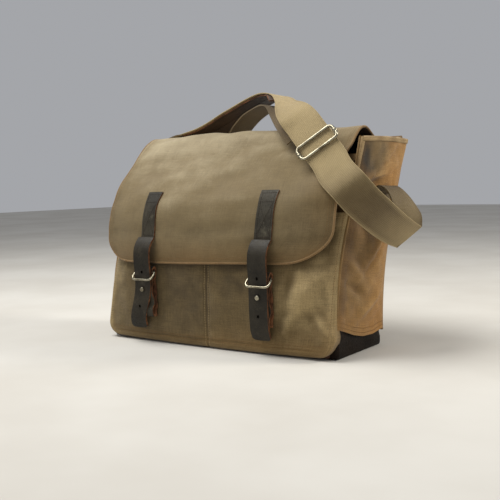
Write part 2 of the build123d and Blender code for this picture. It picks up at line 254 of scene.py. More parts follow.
def stitches(name, path, normal, material, pitch=3.2, length=2.4, radius=0.38, sink=0.1):
    """A row of thread stitches lying on a surface."""
    at, up = resample(path, pitch, normal)
    run = unit(np.gradient(at, axis=0))
    up = unit(up - run * (up * run).sum(axis=1, keepdims=True))
    side = np.cross(run, up)
    rng = np.random.default_rng(len(at))
    at = at + up * (radius * 0.5 - sink) + side * rng.normal(0, 0.06, len(at))[:, None]
    rings, sides = 5, 6
    a = np.linspace(0, np.pi, rings)
    b = np.linspace(0, 2 * np.pi, sides, endpoint=False)
    girth = np.sin(a) ** 0.6 * radius
    ball = np.stack([np.repeat(np.cos(a), sides) * length / 2, np.outer(girth, np.cos(b)).ravel(),
                     np.outer(girth, np.sin(b)).ravel()], axis=1)
    points = at[:, None] + ball[:, :1] * run[:, None] + ball[:, 1:2] * side[:, None] + ball[:, 2:] * up[:, None]
    index = np.arange(rings * sides).reshape(rings, sides)
    one = quads(np.concatenate([index, index[:, :1]], axis=1))
    faces = (one[None] + (np.arange(len(at)) * rings * sides)[:, None, None]).reshape(-1, 4)
    return mesh(name, points.reshape(-1, 3), [faces], [material])


def seam(name, grid, u, v, material, body="bag", slot="edge_tape", **how):
    """Stitches along grid coordinates, riding on a body."""
    u, v = np.broadcast_arrays(np.asarray(u, float), np.asarray(v, float))
    row = stitches(name, lookup(grid, u, v), lookup(normals_of(grid), u, v), material, **how)
    return placed(row, body)


def box(near, far, low, top):
    """The four sides of a sewn box, for straight_seams."""
    return {"foot": ([near, far], [low, low]), "head": ([near, far], [top, top]),
            "near": ([near, near], [low, top]), "far": ([far, far], [low, top])}


def straight_seams(prefix, grid, runs, count, material, **how):
    """Straight rows of stitches, each from one pair of grid coordinates to another."""
    t = np.linspace(0, 1, count)
    for label, (u, v) in runs.items():
        seam(f"{prefix}_{label}", grid, u[0] + (u[1] - u[0]) * t, v[0] + (v[1] - v[0]) * t, material, **how)


def placed(item, body, replaces=()):
    """Attaches a piece to its body; given a pair of bodies instead, only bakes its transform. Hides the CAD nodes it
    stands for.
    """
    if isinstance(body, str):
        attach(item, body)
    else:
        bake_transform(item)
    if replaces:
        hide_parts(*replaces)
    return item


def hollows(grid, reach=6):
    """Positive on ridges and negative in hollows of the grid, in mm."""
    soft = grid.copy()
    for _ in range(reach):
        padded = np.pad(soft, ((1, 1), (1, 1), (0, 0)), mode="reflect", reflect_type="odd")
        soft = (padded[2:, 1:-1] + padded[:-2, 1:-1] + padded[1:-1, 2:] + padded[1:-1, :-2]) / 4
    return ((grid - soft) * normals_of(grid)).sum(axis=2)


# ---- materials
class Paint:
    """Builds a material's nodes."""

    def __init__(self, name, roughness=0.8, metallic=0.0, specular=0.3, sheen=0.0):
        self.material = bpy.data.materials.new(name)
        self.material.use_nodes = True
        self.tree = self.material.node_tree
        self.shader = self.tree.nodes["Principled BSDF"]
        for key, value in (("Roughness", roughness), ("Metallic", metallic), ("Specular IOR Level", specular),
                           ("Sheen Weight", sheen)):
            self.shader.inputs[key].default_value = value

    def node(self, kind, **inputs):
        made = self.tree.nodes.new("ShaderNode" + kind)
        for key, value in inputs.items():
            socket = made.inputs[int(key[1:])] if key[0] == "i" and key[1:].isdigit() else made.inputs[key]
            self.put(socket, value)
        return made

    def put(self, socket, value):
        if isinstance(value, bpy.types.NodeSocket):
            self.tree.links.new(value, socket)
        else:
            socket.default_value = rgb(*value) if isinstance(value, tuple) and len(value) == 3 else value

    def math(self, operation, a, b=0.0):
        made = self.node("Math", i0=a, i1=b)
        made.operation = operation
        return made.outputs[0]

    def add(self, a, b):
        return self.math("ADD", a, b)

    def times(self, a, b):
        return self.math("MULTIPLY", a, b)

    def around(self, value, amount):
        """A value from 0 to 1 moved to lie around 0, and scaled."""
        return self.times(self.math("SUBTRACT", value, 0.5), amount)

    def vector(self, x, y, z):
        return self.node("CombineXYZ", i0=x, i1=y, i2=z).outputs[0]

    def dimmed(self, colour, value):
        return self.mix(1.0, colour, self.vector(value, value, value), "MULTIPLY")

    def mix(self, factor, a, b, kind="MIX"):
        made = self.node("Mix")
        made.data_type = "RGBA"
        made.blend_type = kind
        self.put(made.inputs["Factor"], factor)
        self.put(made.inputs[6], a)
        self.put(made.inputs[7], b)
        return made.outputs[2]

    def place(self):
        return self.node("TexCoord").outputs["Object"]

    def noise(self, scale, detail=3.0, roughness=0.55, where=None, distortion=0.0):
        made = self.node("TexNoise", Vector=where or self.place(), Scale=scale, Detail=detail,
                         Roughness=roughness, Distortion=distortion)
        return made.outputs["Fac"]

    def spread(self, value, low, high, out_low=0.0, out_high=1.0):
        made = self.node("MapRange", i0=value, i1=low, i2=high, i3=out_low, i4=out_high)
        made.interpolation_type = "SMOOTHSTEP"
        return made.outputs[0]

    def attribute(self, name):
        made = self.node("Attribute")
        made.attribute_name = name
        return made.outputs["Fac"]

    def uv(self):
        split = self.node("SeparateXYZ", i0=self.node("TexCoord").outputs["UV"])
        return split.outputs[0], split.outputs[1]

    def bump(self, height, strength, distance, under=None):
        made = self.node("Bump", Strength=strength, Distance=distance, Height=height)
        if under is not None:
            self.put(made.inputs["Normal"], under)
        return made.outputs["Normal"]

    def finish(self, colour, roughness=None, normal=None):
        self.put(self.shader.inputs["Base Color"], colour)
        if roughness is not None:
            self.put(self.shader.inputs["Roughness"], roughness)
        if normal is not None:
            self.put(self.shader.inputs["Normal"], normal)
        return self.material


def rgb(r, g, b):
    """A linear colour from one seen on a screen."""
    return tuple(((c / 255 + 0.055) / 1.055) ** 2.4 if c > 10 else c / 3294.6 for c in (r, g, b)) + (1.0,)


def canvas(name, dark, middle, light, warm, weave=0.55, mottle=1.0, streak=1.0):
    """Waxed canvas: tone and warmth come from the mesh, mottling and weave from the shader."""
    p = Paint(name, sheen=0.12, specular=0.22)
    cloud = p.noise(9.0, 4.0, 0.6)
    small = p.noise(46.0, 5.0, 0.65, distortion=0.6)
    grain = p.noise(900.0, 2.0, 0.7)
    shade = p.add(p.attribute("tone"), p.around(cloud, 0.75 * mottle))
    shade = p.add(shade, p.around(small, 0.42 * mottle))
    low = p.mix(p.spread(shade, 0.05, 0.5), dark, middle)
    colour = p.mix(p.spread(shade, 0.45, 1.0), low, light)
    warmth = p.times(p.attribute("warm"), p.spread(p.noise(16.0, 3.0), 0.25, 0.75, 0.6, 1.0))
    colour = p.mix(warmth, colour, warm)
    u, v = p.uv()
    turn = 2 * np.pi / THREAD_PITCH
    cross = p.times(p.math("SINE", p.times(u, turn)), p.math("SINE", p.times(v, turn)))
    fine, long = 620.0, 42.0
    warp = p.noise(1.0, 2.0, 0.6, p.vector(p.times(u, fine), p.times(v, long), 0.0))
    weft = p.noise(1.0, 2.0, 0.6, p.vector(p.times(u, long), p.times(v, fine), 4.0))
    threads = p.add(p.times(cross, 0.4), p.around(p.times(p.add(warp, weft), 0.5), 2.2))
    worn = p.add(threads, p.around(grain, 1.6))
    colour = p.dimmed(colour, p.spread(worn, -0.8, 0.8, 1 - 0.36 * streak, 1 + 0.30 * streak))
    normal = p.bump(threads, weave, 0.00012, p.bump(small, 0.25, 0.0016))
    return p.finish(colour, p.spread(cloud, 0.3, 0.7, 0.70, 0.86), normal)


def leather(name, dark, light, rough=0.5, scale=1.0, wear=None, specular=0.4):
    p = Paint(name, specular=specular)
    cloud = p.noise(22.0 * scale, 4.0, 0.6)
    pores = p.noise(1500.0, 3.0, 0.6)
    creases = p.noise(320.0, 4.0, 0.7, distortion=1.2)
    colour = p.mix(p.spread(cloud, 0.3, 0.72), dark, light)
    if wear is not None:
        rubbed = p.spread(p.noise(70.0, 5.0, 0.7), 0.55, 0.75)
        colour = p.mix(p.times(rubbed, 0.55), colour, wear)
    cells = p.node("TexVoronoi", Vector=p.place(), Scale=420.0 / scale)
    cells.feature = "DISTANCE_TO_EDGE"
    crack = p.spread(cells.outputs["Distance"], 0.0, 0.12)
    colour = p.dimmed(colour, p.spread(crack, 0.0, 1.0, 0.72, 1.06))
    normal = p.bump(pores, 0.35, 0.00015, p.bump(creases, 0.4, 0.0005, p.bump(crack, 0.35, 0.0003)))
    return p.finish(colour, p.spread(creases, 0.3, 0.7, rough - 0.1, rough + 0.12), normal)


def webbing_paint(name, dark, light):
    p = Paint(name, specular=0.22, sheen=0.15)
    u, v = p.uv()
    rib = p.math("SINE", p.times(u, 2 * np.pi / RIB_PITCH))
    pick = p.math("SINE", p.add(p.times(v, 2 * np.pi / PICK_PITCH), p.times(rib, 1.5)))
    weave = p.add(p.times(rib, 0.42), p.times(pick, 0.58))
    shade = p.add(p.attribute("tone"), p.around(p.noise(11.0, 4.0, 0.6), 0.6))
    worn = p.add(p.times(weave, 0.75), p.around(p.noise(1100.0, 2.0, 0.7), 1.3))
    colour = p.dimmed(p.mix(p.spread(shade, 0.1, 0.9), dark, light), p.spread(worn, -0.85, 0.85, 0.74, 1.12))
    return p.finish(colour, 0.82, p.bump(weave, 0.8, 0.0005))


def metal(name, bright, tarnish, rough=0.28):
    p = Paint(name, metallic=1.0, specular=0.5)
    cloud = p.noise(90.0, 3.0, 0.5)
    scratch = p.noise(900.0, 2.0, 0.5)
    colour = p.mix(p.spread(cloud, 0.4, 0.72), bright, tarnish)
    return p.finish(colour, p.spread(scratch, 0.3, 0.7, rough - 0.04, rough + 0.1))


def plain(name, colour, rough=0.8):
    p = Paint(name, specular=0.2)
    grain = p.noise(1100.0, 3.0, 0.6)
    full = rgb(*colour)
    shade = p.mix(p.spread(p.noise(30.0, 3.0), 0.3, 0.7), tuple(0.8 * c for c in full[:3]) + (1,), full)
    return p.finish(shade, rough, p.bump(grain, 0.3, 0.0002))


flap_canvas = canvas("flap_canvas", (78, 66, 43), (116, 101, 71), (160, 147, 118), (128, 100, 60),
                     weave=0.4, mottle=0.85, streak=0.62)
pocket_canvas = canvas("pocket_canvas", (54, 46, 31), (98, 84, 56), (172, 152, 110), (124, 98, 59))
gusset_canvas = canvas("gusset_canvas", (50, 40, 24), (112, 91, 57), (184, 154, 104), (160, 116, 60))
lining_cloth = canvas("lining_cloth", (48, 36, 26), (70, 53, 38), (92, 72, 52), (92, 60, 42), weave=0.4,
                      mottle=0.6)
edge_cloth = canvas("edge_tape", (78, 60, 38), (122, 98, 64), (170, 146, 106), (146, 106, 62), weave=0.5,
                    mottle=0.7)
webbing_cloth = webbing_paint("webbing", (94, 77, 49), (176, 155, 112))
strap_leather = leather("strap_leather", (44, 40, 32), (72, 67, 55), 0.6, wear=(102, 96, 79), specular=0.2)
strap_shine = leather("strap_leather_smooth", (30, 26, 18), (54, 48, 37), 0.5, wear=(80, 73, 58),
                      specular=0.22)
raw_leather = leather("raw_leather_edge", (76, 48, 30), (140, 92, 58), 0.75, scale=4)
base_leather = leather("base_leather", (17, 11, 6), (31, 21, 12), 0.5, wear=(42, 30, 19), specular=0.1)
pad_leather = leather("pad_leather", (58, 42, 32), (86, 66, 52), 0.5, wear=(104, 82, 66))
wire = metal("antique_wire", (164, 158, 138), (112, 104, 86), 0.30)
magnet = metal("magnet_steel", (190, 188, 184), (140, 138, 134), 0.35)
board = plain("board", (150, 128, 98))
pale_thread = plain("pale_thread", (172, 148, 104), 0.75)
dark_thread = plain("dark_thread", (58, 50, 42), 0.75)
brown_thread = plain("brown_thread", (122, 92, 56), 0.75)
# Painted shade: a near-black colour standing for the shade inside a punched hole; no part uses it.
hole_shade = plain("painted_hole_shade", (24, 18, 14), 0.9)

# ---- flap
FLAP_MIDDLE = [(-86, 118), (-85.5, 140), (-83, 162), (-78, 188), (-69, 208), (-50, 229), (-20, 255), (10, 281),
               (24, 295), (35, 302.5), (48, 306), (72, 305), (110, 298), (147, 291.5)]
FLAP_RIGHT = [(-66, 122), (-62, 148), (-57, 177), (-51.5, 203), (-44, 218), (-30, 239), (-10, 261), (12, 281),
              (28, 291.5), (42, 297.5), (54, 298), (66, 293), (82, 286), (105, 282), (125, 283), (147, 288)]
FLAP_LEFT = [(-69, 118), (-69, 140), (-68, 156), (-66, 172), (-63, 186), (-55, 205), (-41, 226), (-22, 247),
             (-2, 267), (14, 285), (30, 297), (47, 302), (72, 302), (147, 291)]
FLAP_LENGTH = 440.0     # the scale of s, the place along the flap from its front edge
STITCHED_WIDTH = 379.0
BACK_TAIL = [(147, 291.5), (150.2, 289.0), (150.6, 284), (147.6, 276), (143.6, 266.5)]


def corner(s, half, radius):
    """Half width at a distance s from the edge, for an outline with rounded corners."""
    r = radius - np.clip(s, 0, radius)
    return half - radius + np.sqrt(np.maximum(radius**2 - r**2, 0))


def flap_reach(s):
    """How far the flap reaches to the left and right of the middle, at a distance s from its front edge."""
    return corner(s, 197, 46), corner(s, 189, 64) - 9 * ramp(s, 110, 170)


def flap_surface(nu=201, nv=181):
    v = np.linspace(0, 1, nv) ** 1.35
    u = np.linspace(-1, 1, nu)[:, None]
    s = v * FLAP_LENGTH
    left, right = flap_reach(s)
    x = -left + (left + right) * (u + 1) / 2
    middle, edge_r, edge_l = curve(FLAP_MIDDLE, v), curve(FLAP_RIGHT, v), curve(FLAP_LEFT, v)
    weight = (np.abs(x) / 190) ** 2.7
    edge = np.where((x > 0)[..., None], edge_r[None], edge_l[None])
    yz = middle[None] * (1 - weight[..., None]) + edge * weight[..., None]
    grid = xyz(x, yz[..., 0], yz[..., 1])
    n = normals_of(grid)
    span = ramp(s, 0, 60)[None] * ramp(s, FLAP_LENGTH, FLAP_LENGTH - 60)[None]
    lumps = 1.5 * waves(x, s[None] + 0 * x, 60, 5) + 0.5 * waves(x, s[None] + 0 * x, 24, 6)
    lumps = lumps * (0.35 + 0.65 * span)
    foot = ramp(s, 60, 0)[None]
    lumps += foot * 1.6 * np.sin(x / 27 + 0.7)
    lumps -= 1.8 * hump(x, -104, 14) * hump(s, 30, 34)[None] + 2.2 * hump(x, 96, 14) * hump(s, 30, 34)[None]
    curl = ramp(x, 150, 189) * hump(s, 265, 45)[None]
    grid = grid + n * (lumps + 3.0 * curl)[..., None]
    grid[..., 2] += foot * (0.018 * (x + 100) + 0.8 * np.sin(x / 40))
    grid[..., 2] += 2.0 * hump(x, -95, 60) * hump(s, 262, 40)[None]
    return grid, v


def tones_with_painted_shade(grid, base, relief=0.16, wide=0.05):
    """Tone from the relief: ridges are lighter, partly as wear and partly as painted light, and hollows are darker as
    painted shade, at a small and at a wide reach.
    """
    return base + relief * np.clip(hollows(grid), -1.2, 1.2) + wide * np.clip(hollows(grid, 60), -3.5, 3.5)


flap_grid, flap_v = flap_surface()
flap_hinge = ("bag", "flap", (0, 0.1515, 0.276), (0, 0.134, 0.294))


def flap_at(x, height):
    """Grid coordinates of the flap's point at x whose height is given, on the front."""
    s = flap_v * FLAP_LENGTH
    left, right = flap_reach(s)
    u = np.clip((x + left) / (left + right), 0, 1)
    v = np.linspace(0, 1, len(s))
    z = lookup(flap_grid, u, v)[:, 2]
    top = int(np.argmax(z))
    at = np.interp(height, z[:top], v[:top])
    return np.interp(at, v, u), at


def make_flap():
    x = flap_grid[..., 0]
    s = np.broadcast_to(flap_v * FLAP_LENGTH, x.shape)
    # Painted light and shade: the flap is painted lighter toward its upper left and in a band near the top, where the
    # light falls, and darker at the lower right, along the front edge and sides, and in the dents under the strap
    # patches, as painted shade.
    base = 0.42 + 0.34 * ramp(s, 110, 250) * ramp(x, 170, -150) + 0.10 * hump(s, 262, 26)
    base -= 0.20 * ramp(x, 110, 185) * ramp(s, 220, 60) + 0.16 * ramp(s, 30, 4) + 0.10 * ramp(np.abs(x), 172, 188)
    base += folds(x, s, [(0.10, -60, 150, 0, 90, 70), (-0.18, 96, 36, 0, 24, 30), (-0.16, -105, 36, 0, 22, 30)])
    warm = 0.10 + 0.5 * ramp(s, 55, 2) + 0.25 * ramp(x, 120, 188)
    flap_cloths = [flap_canvas, lining_cloth, edge_cloth]
    cloth = sheet("flap_cloth", flap_grid, 2.4, flap_cloths, tones_with_painted_shade(flap_grid, base, 0.20), warm)
    placed(cloth, flap_hinge, ["flap_shell", "flap_lining"])
    n = normals_of(flap_grid)
    border = lambda g: np.concatenate([g[0, ::-1], g[1:-1, 0], g[-1]])
    edge, up = resample(border(flap_grid) - border(n) * 1.2, 2.5, border(n))
    roll = tube("flap_edge", edge, 1.75, edge_cloth, sides=10, lift=up, tone=0.52, warm=0.2)
    placed(roll, flap_hinge, ["flap_binding"])
    t = np.linspace(0, 1, 240)
    for inset, label in ((5.0, "outer"), (8.0, "inner")):
        a = inset / STITCHED_WIDTH
        b = float(np.interp(inset / FLAP_LENGTH, flap_v, np.linspace(0, 1, len(flap_v))))
        u = np.concatenate([a + 0 * t, a + (1 - 2 * a) * t, 1 - a + 0 * t])
        v = np.concatenate([0.97 - (0.97 - b) * t, b + 0 * t, b + (0.97 - b) * t])
        row = stitches(f"flap_stitches_{label}", lookup(flap_grid, u, v), lookup(n, u, v), brown_thread, pitch=2.9,
                       length=2.1, radius=0.3, sink=0.2)
        placed(row, flap_hinge)
    yz = curve(BACK_TAIL, np.linspace(0, 1, 14))
    back = xyz(np.linspace(-190, 190, 60)[:, None], yz[:, 0], yz[:, 1])[::-1, ::-1]
    placed(sheet("flap_hem", back, 2.4, flap_cloths, 0.45, 0.2), flap_hinge)
    for v in (0.12, 0.3):
        seam(f"hem_stitches_{int(v * 100)}", back, np.linspace(0.01, 0.99, 200), v, pale_thread)


# ---- front pocket
POCKET_MIDDLE = [(-64.5, 4.5), (-70, 1.6), (-76, 1.4), (-80.5, 5), (-82.3, 13), (-82.6, 30), (-82.8, 60), (-82.5, 90),
                 (-81.3, 118), (-78, 140), (-71.5, 162), (-61.5, 187)]
POCKET_EDGE = [(-62.5, 7.5), (-67, 4.4), (-73, 4.2), (-77.5, 8.5), (-77.5, 18), (-73.5, 38), (-69, 59), (-65, 79),
               (-58, 105), (-51, 127), (-40, 156), (-28, 187)]


def pocket_surface(nu=260, nv=170):
    v = np.linspace(0, 1, nv)
    flat, bend, wall = 0.93, 0.035, 0.035
    t = np.linspace(-1, 1, nu)
    a = np.abs(t)
    turn = np.clip((a - flat) / bend, 0, 1) * np.pi / 2
    share = np.where(a < flat, a / flat, 1.0)
    over = np.clip((a - flat - bend) / wall, 0, 1)
    middle, edge = curve(POCKET_MIDDLE, v), curve(POCKET_EDGE, v)
    z_middle = middle[:, 1]
    half = corner(np.maximum(z_middle - 1.2, 0.3), 190.5, 21)
    x = np.sign(t)[:, None] * (half[None] * share[:, None] + 5 * np.sin(turn)[:, None])
    weight = (np.abs(x) / 195.5) ** 3.0
    yz = middle[None] * (1 - weight[..., None]) + edge[None] * weight[..., None]
    y, z = yz[..., 0], yz[..., 1]
    body = -60.5 + lean(z)
    y = y + 4 * (1 - np.cos(turn))[:, None]
    y = y + (np.maximum(body, y) - y) * over[:, None]
    grid = xyz(x, y, z)
    off = np.abs(x)
    inside = ramp(off, 194, 178) * ramp(z, 4, 20)
    lumps = 1.5 * waves(x, z, 42, 11) + 0.6 * waves(x, z * 1.3, 17, 12)
    lumps = lumps * inside * (0.55 + 0.45 * ramp(off, 60, 150))
    lumps += folds(x, z, [(5.4, 157, 90, 0.3, 20, 24), (-4.4, 166, 56, 0, 14, 13), (3.4, 183.2, 42, -0.9, 8, 20),
                          (-3.0, 130.4, 92, 0.2, 8, 24), (2.8, 134, 50, 0.6, 9, 26), (-2.0, 120, 34, 0, 40, 14),
                          (1.6, -160, 62, 0, 24, 24)])
    groove = hump(x, 0, 1.3) * 1.5 + hump(x, 0, 9) * 1.2 * inside
    groove = groove + 0.7 * hump(off, 4.2, 1.1) * inside
    low = hump(z, 12.5, 1.5) * 0.9 * ramp(off, 180, 160)
    pucker = 0.35 * np.sin(z / 3.1 + 2 * np.sin(z / 23)) * hump(off, 8, 6) * inside
    grid = grid + normals_of(grid) * (lumps - groove - low + pucker)[..., None]
    front = (z > 30) & (z < 118) & (hump(x, 96, 26) + hump(x, -105, 26) > 0.3)
    grid[..., 1] = np.where(front, np.maximum(grid[..., 1], -83.3), grid[..., 1])
    return grid


def make_pocket():
    grid = pocket_surface()
    x, z = grid[..., 0], grid[..., 2]
    off = np.abs(x)
    # Painted light and shade: the pocket is painted lighter toward its right, its left end and its sides, where the
    # light falls, darker in the middle and along its top as the shadow of the flap's edge, and a painted highlight
    # sits on the bulge at the lower right.
    base = 0.42 + 0.26 * ramp(x, 60, 165) * ramp(z, 20, 70) + 0.16 * ramp(x, -120, -185)
    base += 0.12 * ramp(off, 180, 191) - 0.30 * ramp(z, 104, 124) * ramp(off, 175, 140)
    base += folds(x, z, [(-0.14, -55, 70, 0, 70, 60), (-0.10, 45, 90, 0, 35, 60), (0.26, 150, 82, 0, 24, 22)])
    warm = 0.18 + 0.22 * ramp(x, 60, 180) + 0.45 * ramp(z, 26, 8) + 0.2 * ramp(off, 176, 190)
    warm += 0.25 * hump(x, 60, 90) * hump(z, 22, 16)
    item = sheet("pocket_cloth", grid, 2.4, [pocket_canvas, lining_cloth, edge_cloth], tones_with_painted_shade(grid, base, 0.22), warm)
    placed(item, "bag", ["pocket_panel_left", "pocket_panel_right", "pocket_seam_tape", "pocket_gusset"])
    nu, nv = grid.shape[:2]
    heavy = {"pitch": 3.4, "length": 2.4, "radius": 0.33}
    for label, offset in (("left", -3.4), ("right", 3.4)):
        u = np.interp(offset, x[:, 60], np.linspace(0, 1, nu))
        seam(f"pocket_centre_{label}", grid, u, np.linspace(0, 1, 300)[28:], pale_thread, **heavy)
    v = np.linspace(0, 1, nv)
    for height in (9.2, 15.8):
        at = np.interp(height, z[nu // 2, 20:], v[20:])
        seam(f"pocket_foot_{int(height)}", grid, np.linspace(0.06, 0.94, 400), at, brown_thread, **heavy)
    for label, u in (("left", 0.036), ("right", 0.964)):
        seam(f"pocket_side_{label}", grid, u, np.linspace(0.16, 0.995, 300), brown_thread, pitch=3.2, length=2.2,
             radius=0.3)
    seam("pocket_mouth", grid, np.linspace(0.05, 0.95, 400), 0.965, pale_thread)


# ---- gussets and back
def hem_height(y):
    return np.interp(y, [-72, -50, -25, 0, 30, 64], [42, 35.5, 27, 21.5, 19.5, 23])


BODY_CLOTHS = [gusset_canvas, lining_cloth, edge_cloth]
WEBBING_HEIGHTS = [160, 205, 228, 248, 268, 285]    # along the sewn end of the webbing, with its middle and its inside
WEBBING_MIDDLE = [58, 60, 66, 75, 86, 95]
EDGE_TILT = np.radians(15)
WEBBING_INSIDE = [197.2, 197.2, 199.0, 201.4, 202.6, 203.5]


def gusset_surface(side, sign, nu=130, nv=240):
    """The gusset from its front edge to its back edge and from its hem to its top, for sign +1 right, -1 left."""
    t = np.linspace(0, 1, nu)[:, None]
    q = np.linspace(0, 1, nv)[None]
    z = hem_height(-HALF_DEPTH + 2 * HALF_DEPTH * t) * (1 - q) + (285 + 1.5 * np.sin(np.pi * t)) * q
    front = -HALF_DEPTH + lean(z) - EAR_FORWARD[side] * ramp(z, 190, 285)
    y = front * (1 - t) + (HALF_DEPTH + lean(z)) * t
    a = y - lean(z)
    rim = np.clip(np.minimum(t, 1 - t) / 0.06, 0, 1)
    out = 0.6 + 5.5 * np.sin(np.pi * t) * ramp(z, 20, 60) * (1 - 0.6 * ramp(z, 180, 240)) + 1.6 * np.sqrt(rim)
    seed = 21 if sign > 0 else 31
    inside = np.clip(np.minimum(t, 1 - t) / 0.14, 0, 1)
    lumps = 2.0 * waves(0.8 * a, z, 44, seed) + 0.45 * waves(a + 0.3 * z, 1.5 * z, 19, seed + 1)
    lumps += folds(z, a, [(5.0, 238.5, -6, 0.25, 7, 34), (-5.5, 221, -20, 0.15, 7, 28), (4.0, 204, -20, -0.5, 8, 26),
                          (-4.4, 181.8, -12, -0.4, 7, 26), (4.4, 112.7, -34, -0.55, 9, 26),
                          (-4.6, 89.4, -32, -0.45, 7, 28), (3.2, 62, 12, 0.5, 7, 30), (3.4, 278.8, 24, 0.7, 9, 26),
                          (3.0, 144, 20, 0.8, 8, 26), (-3.0, 126.4, 18, 0.8, 7, 26)])
    out = out + lumps * inside * ramp(z, 16, 34) * ramp(z, 286, 270)
    flare = 2.5 * ramp(z, 225, 284) - 5.0 * hump(z, 226, 18) * hump(a, -10, 30)
    x = 195.3 + out + flare
    # The sewn end of the webbing holds the cloth flat under it
    limit = np.interp(z, WEBBING_HEIGHTS, WEBBING_INSIDE)
    middle = np.interp(z, WEBBING_HEIGHTS, WEBBING_MIDDLE)
    held = ramp(np.abs(y - middle), 38, 28) * ramp(z, 150, 164)
    x = np.maximum(x - np.maximum(x - limit, 0) * held, 193.6 + 0.12 * (x - 193.6))
    grid = xyz(x, y, z)
    return grid if sign > 0 else grid[::-1] * np.array([-1, 1, 1])


def binding(name, edge, inward, normal, width):
    """A folded tape over a cloth edge, with two rows of stitches on the outer side."""
    gap, thick = 1.4, 2.4
    profile = [(width, gap - 0.9), (width - 0.4, gap), (width * 0.5, gap + 0.1), (0.8, gap), (-0.9, gap * 0.5),
               (-1.2, -thick / 2), (-0.9, -thick - gap * 0.5), (0.8, -thick - gap), (width, -thick - gap + 0.3)]
    rows = np.stack([edge + inward * a + normal * b for a, b in profile], axis=0)
    index = np.arange(rows.shape[0] * rows.shape[1]).reshape(rows.shape[:2])
    uv = grid_uv(rows)
    tone = 0.8 + 0.14 * waves(uv[:, 1] * 1000, uv[:, 0] * 1000, 14, len(edge))
    item = mesh(name, rows.reshape(-1, 3), [quads(index)[:, ::-1]], [edge_cloth], uv=uv,
                values={"tone": tone, "warm": np.full(len(uv), 0.15)})
    placed(item, "bag")
    for inset in (1.9, width - 1.6):
        row = stitches(f"{name}_stitches_{int(inset * 10)}", edge + inward * inset + normal * (gap + 0.05), normal,
                       pale_thread, pitch=3.0, length=2.2, radius=0.32)
        placed(row, "bag")


def make_gusset(side, sign):
    grid = gusset_surface(side, sign)
    y, z = grid[..., 1], grid[..., 2]
    a = y - lean(z)
    # Painted light and shade: the gusset is painted darker along its front edge beside the pocket and in patches near
    # that edge up in the ear, as painted shade, lighter toward the back, at mid height and near the top where the
    # light falls, and a painted highlight sits on the ridge in the ear.
    base = 0.46 + 0.20 * hump(z, 262, 26) * ramp(a, -30, 25) + 0.12 * ramp(a, 20, 60) - 0.34 * ramp(a, -36, -60)
    base += 0.12 * hump(z, 100, 34) * ramp(a, -10, 30)
    base += folds(z, a, [(-0.12, 250, -32, 0, 20, 26), (-0.26, 205, -30, 0, 22, 36), (0.22, 236, 0, 0.25, 9, 26)])
    warm = 0.35 + 0.45 * ramp(a, -25, 45) + 0.25 * hump(z, 230, 22) + 0.25 * ramp(z, 80, 36)
    warm -= 0.75 * hump(z, 258, 26) * hump(a, -34, 34)
    item = sheet(f"gusset_{side}_cloth", grid, 2.2, BODY_CLOTHS, tones_with_painted_shade(grid, base, 0.14, 0.085), np.clip(warm, 0, 1))
    placed(item, "bag", [f"side_gusset_{side}", f"ear_binding_{side}", f"front_seam_tape_{side}",
                                          f"back_seam_tape_{side}"])
    n = normals_of(grid)
    top = grid[:, -1]
    calm = n[np.clip(np.arange(len(top)), 12, len(top) - 13), -10]
    binding(f"ear_top_{side}", top, unit(grid[:, -12] - top), calm, width=6.5)
    low = int(grid.shape[1] * 0.60)
    front, beside = (0, 8) if sign > 0 else (-1, -9)
    edge = grid[front, low:]
    inward = np.tile([0, np.cos(EDGE_TILT), -np.sin(EDGE_TILT)], (len(edge), 1))
    binding(f"ear_front_{side}", edge, inward, n[beside, low:], width=5.5)
    for label, height in (("hem", 0.018), ("hem_upper", 0.018 + 0.022)):
        seam(f"gusset_{label}_{side}", grid, np.linspace(0.02, 0.98, 120), height, brown_thread, pitch=3.2)
    # The welts where the gusset is sewn to the front and to the back
    for label, start, foot, head in (("front", -64.6, 24, 286), ("back", 64.4, 20, 285)):
        z = np.linspace(foot, head, 120)
        y = start + lean(z)
        if label == "front":
            y = y - EAR_FORWARD[side] * ramp(z, 190, 285)
        path = np.column_stack([np.full(120, sign * 194.6), y, z])
        placed(tube(f"{label}_welt_{side}", path, 1.9, gusset_canvas, sides=10), "bag")


def make_back():
    x, z = np.meshgrid(np.linspace(194.5, -194.5, 160), np.linspace(20, BODY_TOP, 150), indexing="ij")
    inside = ramp(np.abs(x), 194, 165) * ramp(z, 20, 50) * ramp(z, BODY_TOP, 262)
    out = 3.0 * inside + (1.6 * waves(x, z, 45, 41) + 0.6 * waves(x, z, 18, 42)) * inside
    grid = xyz(x, 64.6 + lean(z) + out, z)
    base = 0.42 + 0.07 * waves(x, z, 90, 43) - 0.1 * ramp(z, 60, 20)
    item = sheet("back_cloth", grid, 2.2, BODY_CLOTHS, tones_with_painted_shade(grid, base), 0.35 + 0.2 * ramp(z, 90, 20))
    placed(item, "bag", ["back_panel"])
    for v in (0.02, 0.045):
        seam(f"back_hem_{int(v * 1000)}", grid, np.linspace(0.01, 0.99, 300), v, brown_thread)


